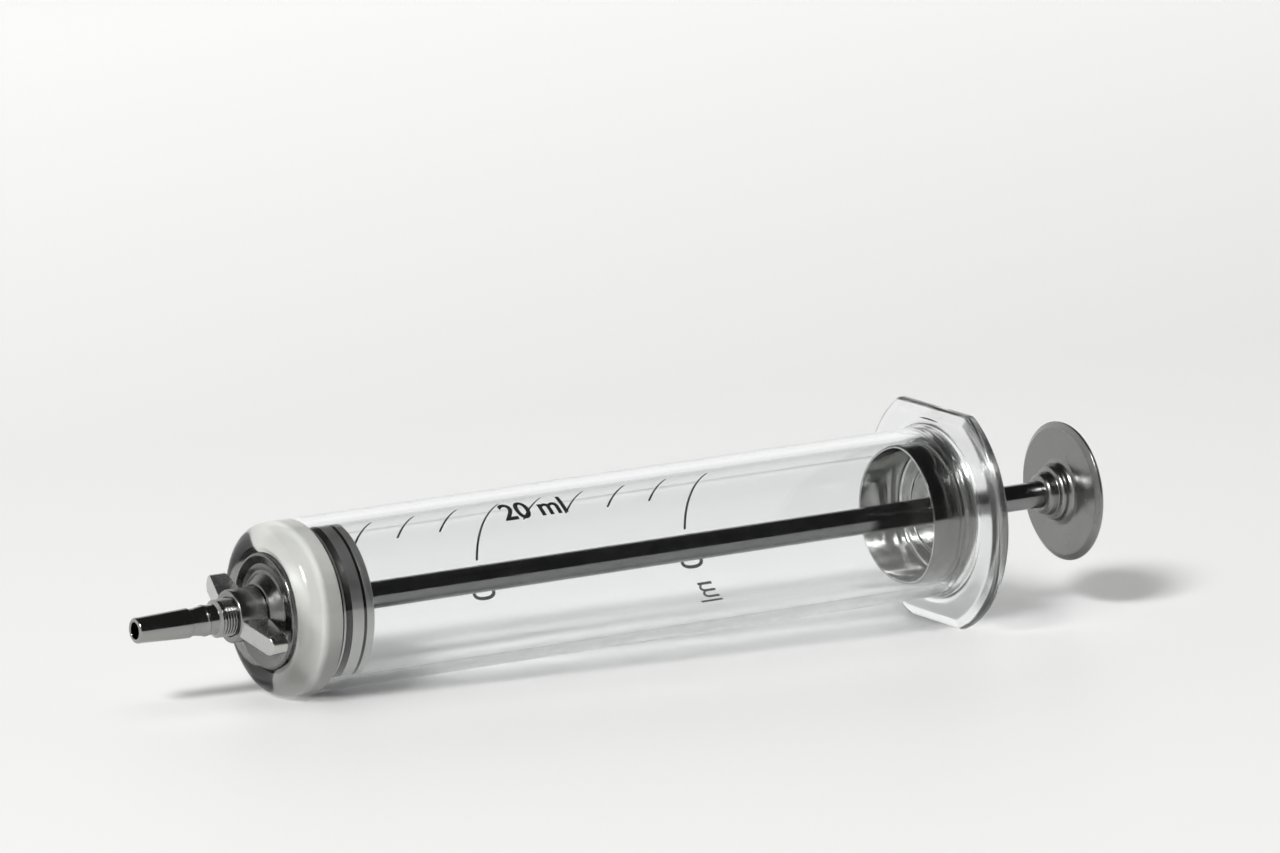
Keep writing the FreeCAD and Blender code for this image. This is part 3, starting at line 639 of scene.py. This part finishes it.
threadTurns = (nozzle["threadRear"] - nozzle["threadFront"]) / nozzle["threadPitch"]
nozzlePiece = turnedPiece("nozzle", [
    (0, nozzle["holeRadius"], nozzle["edge"]),
    (0, nozzle["tipRadius"], nozzle["tipRound"]),
    (nozzle["coneLength"], nozzle["coneRadius"], nozzle["fineEdge"]),
    (nozzle["coneLength"] + nozzle["neckStep"], nozzle["neckRadius"], nozzle["fineEdge"]),
    (nozzle["neckRear"], nozzle["neckRadius"], nozzle["neckRound"]),
    (nozzle["beadFront"], nozzle["beadFoot"], nozzle["fineEdge"]),
    (nozzle["beadFront"] + nozzle["beadStep"], nozzle["beadRadius"], nozzle["fineEdge"]),
    (nozzle["beadRear"] - nozzle["beadStep"], nozzle["beadRadius"], nozzle["fineEdge"]),
    (nozzle["beadRear"], nozzle["collarRadius"], nozzle["fineEdge"]),
    (nozzle["collarRear"], nozzle["collarRadius"], nozzle["fineEdge"]),
    (nozzle["collarRear"] + nozzle["shankLead"], nozzle["threadRadius"], nozzle["fineEdge"]),
    (nozzle["plateFront"], nozzle["threadRadius"], nozzle["edge"]),
    (nozzle["plateFront"], nozzle["plateRadius"], nozzle["edge"]),
    (nozzle["plateRear"], nozzle["plateRadius"], nozzle["edge"]),
    (nozzle["plateRear"], nozzle["holeRadius"], nozzle["fineEdge"]),
], arcSteps=5, sides=128, relief=threadRelief,
    reliefStations=np.linspace(nozzle["threadFront"], nozzle["threadRear"],
                               int(threadTurns * nozzle["rowsPerTurn"])))
finishPiece(nozzlePiece, "barrel", ["nozzle"], nickelBright)

# Cup washer: a dished sheet with its rim rolled back onto the glass
cup = {
    "front": 17.917,
    "wall": 0.45,
    "holeRadius": 2.56,
    "bossRadius": 3.8,
    "dishDepth": 1.45,
    "dishInside": 5.2,
    "dishOutside": 6.3,
    "rimDepth": 1.0,
    "rimRadius": 7.65,
    "skirt": 1.0,
    "bossRound": 0.5,
    "dishRound": 0.6,
    "dishOuterRound": 0.5,
    "rimRound": 0.3,
    "backShift": 0.2,  # the back's bends lie this far from the front's
    "holeEdge": 0.08,
    "skirtEdge": 0.12,
    "insideEdge": 0.1,
}
cupDish = cup["front"] + cup["dishDepth"]
cupRim = cup["front"] + cup["rimDepth"]
cupPiece = turnedPiece("cupWasher", [
    (cup["front"], cup["holeRadius"], cup["holeEdge"]),
    (cup["front"], cup["bossRadius"], cup["bossRound"]),
    (cupDish, cup["dishInside"], cup["dishRound"]),
    (cupDish, cup["dishOutside"], cup["dishOuterRound"]),
    (cupRim, cup["rimRadius"], cup["rimRound"]),
    (cupRim + cup["skirt"], cup["rimRadius"], cup["skirtEdge"]),
    (cupRim + cup["skirt"], cup["rimRadius"] - cup["wall"], cup["skirtEdge"]),
    (cupRim + cup["wall"], cup["rimRadius"] - cup["wall"], cup["insideEdge"]),
    (cupDish + cup["wall"], cup["dishOutside"] + cup["backShift"], cup["rimRound"]),
    (cupDish + cup["wall"], cup["dishInside"] - cup["backShift"], cup["rimRound"]),
    (cup["front"] + cup["wall"], cup["bossRadius"] - cup["backShift"], cup["rimRound"]),
    (cup["front"] + cup["wall"], cup["holeRadius"], cup["holeEdge"]),
], arcSteps=8, sides=192)
finishPiece(cupPiece, "washer", ["cup_washer"], nickelStained)

# Wing nut: a turned hub and two flat wings whose fronts slope back to rounded ends
wingNut = {
    "front": 13.82,
    "rear": 17.86,
    "hubRadius": 3.5,
    "hubChamfer": 0.3,
    "hubEdges": (0.15, 0.12, 0.1),  # hole's front, outside's rear and hole's rear
    "holeRadius": 2.56,
    "rootReach": 2.8,
    "halfSpan": 9.1,
    "halfWidth": 1.25,
    "tipRound": 1.1,
    "sweepFrom": 3.2,
    "sweep": 1.75,
    "edge": 0.22,
    "turn": math.radians(20),
}
hubPiece = turnedPiece("wingNutHub", [
    (wingNut["front"], wingNut["holeRadius"], wingNut["hubEdges"][0]),
    (wingNut["front"], wingNut["hubRadius"], wingNut["hubChamfer"]),
    (wingNut["rear"], wingNut["hubRadius"], wingNut["hubEdges"][1]),
    (wingNut["rear"], wingNut["holeRadius"], wingNut["hubEdges"][2]),
], arcSteps=6, sides=128)
finishPiece(hubPiece, "nut", ["wing_nut"], nickelHandled)


# Each wing's outline across the axis is a bar whose two outer corners are quarter circles. Its
# front face slopes back in proportion to the distance from the axis.
def makeWings():
    bend = np.linspace(0, np.pi / 2, 9)
    tipReach = wingNut["halfSpan"] - wingNut["tipRound"] * (1 - np.sin(bend))
    tipSide = wingNut["halfWidth"] - wingNut["tipRound"] * (1 - np.cos(bend))
    reach = np.concatenate([[wingNut["rootReach"]], tipReach, tipReach[::-1], [wingNut["rootReach"]]])
    side = np.concatenate([[-wingNut["halfWidth"]], -tipSide, tipSide[::-1], [wingNut["halfWidth"]]])
    slope = wingNut["sweep"] / (wingNut["halfSpan"] - wingNut["sweepFrom"])
    front = wingNut["front"] + np.maximum(reach - wingNut["sweepFrom"], 0) * slope
    rear = np.full_like(front, wingNut["rear"])
    count = len(reach)
    points, faces = [], []
    for number, turn in enumerate((wingNut["turn"], wingNut["turn"] + math.pi)):
        far = reach * math.cos(turn) - side * math.sin(turn)
        up = reach * math.sin(turn) + side * math.cos(turn)
        points.append(place(np.concatenate([front, rear]), np.tile(far, 2), np.tile(up, 2)))
        first = number * 2 * count
        here = np.arange(count)
        after = np.roll(here, -1)
        walls = np.stack([here, after, after + count, here + count], 1) + first
        faces += walls.tolist()
        faces += [(here[::-1] + first).tolist(), (here + count + first).tolist()]
    mesh = bpy.data.meshes.new("wingNutWings")
    mesh.from_pydata(np.concatenate(points).tolist(), [], faces)
    mesh.polygons.foreach_set("use_smooth", np.ones(len(mesh.polygons), bool))
    wings = bpy.data.objects.new("wingNutWings", mesh)
    bpy.context.scene.collection.objects.link(wings)
    bevel = wings.modifiers.new("edges", "BEVEL")
    bevel.width = wingNut["edge"] / 1000
    bevel.segments = 3
    bevel.limit_method = "ANGLE"
    bevel.angle_limit = math.radians(35)
    bevel.harden_normals = True
    return wings


# The wings take the paler copy of the hub's plate, which is painted light
finishPiece(makeWings(), "nut", [], nickelPaintedLight)
print("nozzle, gasket, washer and wing nut made")

# Piston: a ground disc with a sloped front edge and a fine groove near the rear
piston = {
    "front": 25.1,
    "rear": 29.7,
    "radius": 9.84,
    "rimRear": 25.5,
    "rimDrop": 0.15,
    "coneFront": 25.6,
    "coneRear": 26.4,
    "coneDepth": 0.75,
    "grooveFront": 28.1,
    "grooveRear": 28.5,
    "grooveDepth": 0.55,
    "frontEdge": 0.12,
    "rimEdge": 0.08,
    "coneRoot": 0.1,
    "fineEdge": 0.05,
    "rearRound": 0.2,
}
pistonPiece = turnedPiece("piston", [
    (piston["front"], 0, 0),
    (piston["front"], piston["radius"] - piston["rimDrop"], piston["frontEdge"]),
    (piston["rimRear"], piston["radius"] - piston["rimDrop"], piston["rimEdge"]),
    (piston["coneFront"], piston["radius"] - piston["coneDepth"], piston["coneRoot"]),
    (piston["coneRear"], piston["radius"], piston["fineEdge"]),
    (piston["grooveFront"], piston["radius"], piston["fineEdge"]),
    (piston["grooveFront"], piston["radius"] - piston["grooveDepth"], piston["fineEdge"]),
    (piston["grooveRear"], piston["radius"] - piston["grooveDepth"], piston["fineEdge"]),
    (piston["grooveRear"], piston["radius"], piston["fineEdge"]),
    (piston["rear"], piston["radius"], piston["rearRound"]),
    (piston["rear"], 0, 0),
], arcSteps=5, sides=224)
finishPiece(pistonPiece, "plunger", ["piston"], steelLapped)

# Plunger rod: a drawn bar whose turned-down end sits in the piston
rod = {
    "front": 26.9,
    "shoulder": 29.75,
    "rear": 142.3,
    "radius": 1.8,
    "spigotRadius": 1.5,
    "endEdge": 0.1,
    "shoulderEdge": 0.05,
}
rodPiece = turnedPiece("plungerRod", [
    (rod["front"], 0, 0),
    (rod["front"], rod["spigotRadius"], rod["endEdge"]),
    (rod["shoulder"], rod["spigotRadius"], rod["shoulderEdge"]),
    (rod["shoulder"], rod["radius"], rod["shoulderEdge"]),
    (rod["rear"], rod["radius"], rod["endEdge"]),
    (rod["rear"], 0, 0),
], arcSteps=5, sides=96)
finishPiece(rodPiece, "plunger", ["plunger_rod"], steelDrawn)

# Thumb disc: a thin disc on a stepped boss with a round shoulder, and a blind hole for the rod
disc = {
    "bossFront": 139.4,
    "bossFrontRadius": 2.75,
    "stepRear": 141.0,
    "stepRadius": 2.95,
    "bulgeRadius": 3.7,
    "faceFront": 142.8,
    "rear": 143.9,
    "radius": 9.45,
    "bevelLength": 0.5,
    "bevelDrop": 0.79,
    "rearRound": 0.5,
    "holeRadius": 1.82,
    "holeFloor": 142.35,
    "holeEdge": 0.05,
    "bossRound": 0.8,
    "stepRound": 0.15,
    "bulgeRound": 0.72,
    "flareRound": 1.0,
    "faceEdge": 0.1,
    "rimEdge": 0.15,
}
discPiece = turnedPiece("thumbDisc", [
    (disc["holeFloor"], 0, 0),
    (disc["holeFloor"], disc["holeRadius"], disc["holeEdge"]),
    (disc["bossFront"], disc["holeRadius"], disc["holeEdge"]),
    (disc["bossFront"], disc["bossFrontRadius"], disc["bossRound"]),
    (disc["stepRear"], disc["stepRadius"], disc["stepRound"]),
    (disc["stepRear"], disc["bulgeRadius"], disc["bulgeRound"]),
    (disc["faceFront"], disc["bulgeRadius"], disc["flareRound"]),
    (disc["faceFront"], disc["radius"] - disc["bevelDrop"], disc["faceEdge"]),
    (disc["faceFront"] + disc["bevelLength"], disc["radius"], disc["rimEdge"]),
    (disc["rear"], disc["radius"], disc["rearRound"]),
    (disc["rear"], 0, 0),
], arcSteps=8, sides=192)
finishPiece(discPiece, "plunger", ["thumb_disc"], nickelHandled)

# Guide cap: thin cup pressed into the rear of the bore, open to the front
cap = {
    "front": 116.3,
    "rear": 123.7,
    "insideRadius": 9.0,
    "sleeveRadius": 9.4,
    "gripRadius": 9.88,
    "gripFront": 121.5,
    "stepLength": 0.4,
    "floorFront": 122.9,
    "bossFront": 121.9,
    "bossRadius": 5.2,
    "holeRadius": 1.86,
    "ringFront": 122.5,
    "ringInside": 6.2,
    "ringOutside": 7.1,
    "corner": 0.6,
    "mouthEdge": 0.08,
    "lipEdge": 0.15,
    "bend": 0.2,
    "holeEdge": 0.1,
    "bossRound": 0.25,
    "ringEdge": 0.12,
}
capPiece = turnedPiece("guideCap", [
    (cap["front"], cap["insideRadius"], cap["mouthEdge"]),
    (cap["front"], cap["sleeveRadius"], cap["lipEdge"]),
    (cap["gripFront"] - cap["stepLength"], cap["sleeveRadius"], cap["bend"]),
    (cap["gripFront"], cap["gripRadius"], cap["bend"]),
    (cap["rear"], cap["gripRadius"], cap["bend"]),
    (cap["rear"], cap["holeRadius"], cap["holeEdge"]),
    (cap["bossFront"], cap["holeRadius"], cap["holeEdge"]),
    (cap["bossFront"], cap["bossRadius"], cap["bossRound"]),
    (cap["floorFront"], cap["bossRadius"], cap["bossRound"]),
    (cap["floorFront"], cap["ringInside"], cap["ringEdge"]),
    (cap["ringFront"], cap["ringInside"], cap["ringEdge"]),
    (cap["ringFront"], cap["ringOutside"], cap["ringEdge"]),
    (cap["floorFront"], cap["ringOutside"], cap["ringEdge"]),
    (cap["floorFront"], cap["insideRadius"], cap["corner"]),
], arcSteps=6, sides=192)
finishPiece(capPiece, "barrel", ["guide_cap"], nickelInside)
print("piston, rod, thumb disc and guide cap made")

# Table, room and lamps: a dim room with a bright backdrop behind and a window to the front left
studio = {
    "tableReach": 6,  # half the table's side, in metres
    "tableColour": "ECECEB",
    "tableRoughness": 0.5,
    "tableGloss": 0.3,
    "farGlow": 0.24,
    "glowSpan": (0.16, 0.52),  # metres away from the middle, where the glow sets in and is full
    "roomStrength": 0.03,
    "backdropStrength": 0.95,
    "backdropTop": 0.55,  # middle of the backdrop's fading top edge, as the sine of its elevation
    "backdropFade": 0.08,
    "leftSide": 0.3,  # how far the backdrop's light reaches round to the left
    "rightSide": 0.3,  # and to the right, between the next two values
    "rightSpan": (0.72, 0.9),
    "sideFade": 0.45,
    "windowPlace": (-2.14, -1.24, 2.07),
    "windowSize": (0.7, 0.7),
    "windowWatts": 100.0,
    "ceilingPlace": (0.0, 0.1, 1.6),
    "ceilingSize": (1.6, 1.6),
    "ceilingWatts": 8.5,
    "lampTarget": (0.0, 0.001, 0.01),
}

tableMesh = bpy.data.meshes.new("table")
reach = studio["tableReach"]
tableMesh.from_pydata([(-reach, -reach, 0), (reach, -reach, 0), (reach, reach, 0), (-reach, reach, 0)],
                      [], [(0, 1, 2, 3)])
table = bpy.data.objects.new("table", tableMesh)
bpy.context.scene.collection.objects.link(table)
# Coated white card: even and matt with a faint sheen
tableMaterial, tree = newMaterial("cardCoatedWhite")
tableShader = addNode(tree, "ShaderNodeBsdfPrincipled", {
    "Base Color": linear(studio["tableColour"]), "Roughness": studio["tableRoughness"],
    "Specular IOR Level": studio["tableGloss"]})
# The table's far part glows softly towards the picture, its mirrors and its glass
seenBy = addNode(tree, "ShaderNodeLightPath")
cameraOrMirror = addNode(tree, "ShaderNodeMath", {"operation": "MAXIMUM"},
                         {0: seenBy.outputs["Is Camera Ray"], 1: seenBy.outputs["Is Glossy Ray"]})
anySeen = addNode(tree, "ShaderNodeMath", {"operation": "MAXIMUM"},
                  {0: cameraOrMirror.outputs[0], 1: seenBy.outputs["Is Transmission Ray"]})
tableSpot = addNode(tree, "ShaderNodeSeparateXYZ", links={
    0: addNode(tree, "ShaderNodeTexCoord").outputs["Object"]})
farGlow = addNode(tree, "ShaderNodeMapRange", {
    "From Min": studio["glowSpan"][0], "From Max": studio["glowSpan"][1],
    "To Min": 0.0, "To Max": studio["farGlow"]},
    {"Value": tableSpot.outputs["Y"]})
glowSeen = addNode(tree, "ShaderNodeMath", {"operation": "MULTIPLY"},
                   {0: anySeen.outputs[0], 1: farGlow.outputs[0]})
glowShader = addNode(tree, "ShaderNodeEmission", {"Color": linear("FFFFFF")},
                     {"Strength": glowSeen.outputs[0]})
tableSum = addNode(tree, "ShaderNodeAddShader", links={0: tableShader.outputs[0], 1: glowShader.outputs[0]})
addNode(tree, "ShaderNodeOutputMaterial", links={"Surface": tableSum.outputs[0]})
tableMesh.materials.append(tableMaterial)

# The room: dim all round, with the backdrop's light from the far side and a little past both ends
world = bpy.data.worlds.new("room")
world.use_nodes = True
world.node_tree.nodes.clear()
roomDirection = addNode(world.node_tree, "ShaderNodeTexCoord")
directionParts = addNode(world.node_tree, "ShaderNodeSeparateXYZ",
                         links={0: roomDirection.outputs["Generated"]})
lowEnough = addNode(world.node_tree, "ShaderNodeMapRange", {
    "interpolation_type": "SMOOTHSTEP", "From Min": studio["backdropTop"] - studio["backdropFade"],
    "From Max": studio["backdropTop"] + studio["backdropFade"], "To Min": 1.0, "To Max": 0.0},
    {"Value": directionParts.outputs["Z"]})
toLeft = addNode(world.node_tree, "ShaderNodeMath", {"operation": "MULTIPLY", 1: -studio["leftSide"]},
                 {0: directionParts.outputs["X"]})
toRight = addNode(world.node_tree, "ShaderNodeMapRange", {
    "From Min": studio["rightSpan"][0], "From Max": studio["rightSpan"][1],
    "To Min": 0.0, "To Max": studio["rightSide"]},
    {"Value": directionParts.outputs["X"]})
besides = addNode(world.node_tree, "ShaderNodeMath", {"operation": "MAXIMUM"},
                  {0: toRight.outputs[0], 1: toLeft.outputs[0]})
towards = addNode(world.node_tree, "ShaderNodeMath", {"operation": "MAXIMUM"},
                  {0: directionParts.outputs["Y"], 1: besides.outputs[0]})
farEnough = addNode(world.node_tree, "ShaderNodeMapRange", {
    "interpolation_type": "SMOOTHSTEP", "From Min": 0.0, "From Max": studio["sideFade"]},
    {"Value": towards.outputs[0]})
onBackdrop = addNode(world.node_tree, "ShaderNodeMath", {"operation": "MULTIPLY"},
                     {0: lowEnough.outputs[0], 1: farEnough.outputs[0]})
roomStrength = addNode(world.node_tree, "ShaderNodeMapRange", {
    "To Min": studio["roomStrength"], "To Max": studio["backdropStrength"]},
    {"Value": onBackdrop.outputs[0]})
roomLight = addNode(world.node_tree, "ShaderNodeBackground", {"Color": linear("FFFFFF")},
                    {"Strength": roomStrength.outputs[0]})
addNode(world.node_tree, "ShaderNodeOutputWorld", links={"Surface": roomLight.outputs[0]})
bpy.context.scene.world = world


# A turn whose local -Z points from the position to the target, with +Y kept upwards
def aim(position, target):
    away = np.array(position, float) - np.array(target, float)
    away /= np.linalg.norm(away)
    right = np.cross((0.0, 0.0, 1.0), away)
    right /= np.linalg.norm(right)
    return Matrix(np.stack([right, np.cross(away, right), away], 1).tolist()).to_4x4()


# An area lamp aimed just above the middle of the table, shown in mirrors and glass or in neither
def addLamp(name, position, size, watts, mirrored):
    light = bpy.data.lights.new(name, "AREA")
    light.shape = "RECTANGLE"
    light.size, light.size_y = size
    light.energy = watts
    lamp = bpy.data.objects.new(name, light)
    lamp.matrix_world = Matrix.Translation(position) @ aim(position, studio["lampTarget"])
    lamp.visible_glossy = mirrored
    lamp.visible_transmission = mirrored
    bpy.context.scene.collection.objects.link(lamp)


addLamp("window", studio["windowPlace"], studio["windowSize"], studio["windowWatts"], True)
addLamp("ceiling", studio["ceilingPlace"], studio["ceilingSize"], studio["ceilingWatts"], False)

# Camera, worked out for a picture of 1280 by 853 pixels
view = {
    "azimuth": math.radians(-31.929),
    "elevation": math.radians(10.571),
    "roll": math.radians(0.781),
    "focalPixels": 11200.5,
    "pictureWidth": 1280,
    "sensorWidth": 36.0,
    # where the nozzle's tip is seen from the camera: right, down and away, in metres
    "tipSeen": (-0.064877, 0.026242, 1.4375),
}
cosAz, sinAz = math.cos(view["azimuth"]), math.sin(view["azimuth"])
cosEl, sinEl = math.cos(view["elevation"]), math.sin(view["elevation"])
levelRight = np.array([cosAz, sinAz, 0.0])
levelUp = np.array([-sinAz * sinEl, cosAz * sinEl, cosEl])
forward = np.array([-sinAz * cosEl, cosAz * cosEl, -sinEl])
rightward = math.cos(view["roll"]) * levelRight + math.sin(view["roll"]) * levelUp
upward = math.cos(view["roll"]) * levelUp - math.sin(view["roll"]) * levelRight
seenRight, seenDown, seenAway = view["tipSeen"]
eye = tipPoint - seenRight * rightward + seenDown * upward - seenAway * forward
camera = bpy.data.cameras.new("camera")
camera.sensor_fit = "HORIZONTAL"
camera.sensor_width = view["sensorWidth"]
camera.lens = view["focalPixels"] * view["sensorWidth"] / view["pictureWidth"]
cameraObject = bpy.data.objects.new("camera", camera)
turning = Matrix(np.stack([rightward, upward, -forward], 1).tolist()).to_4x4()
cameraObject.matrix_world = Matrix.Translation(eye.tolist()) @ turning
bpy.context.scene.collection.objects.link(cameraObject)
bpy.context.scene.camera = cameraObject

bpy.context.scene.view_settings.view_transform = "Standard"
print("table, lamps and camera made")
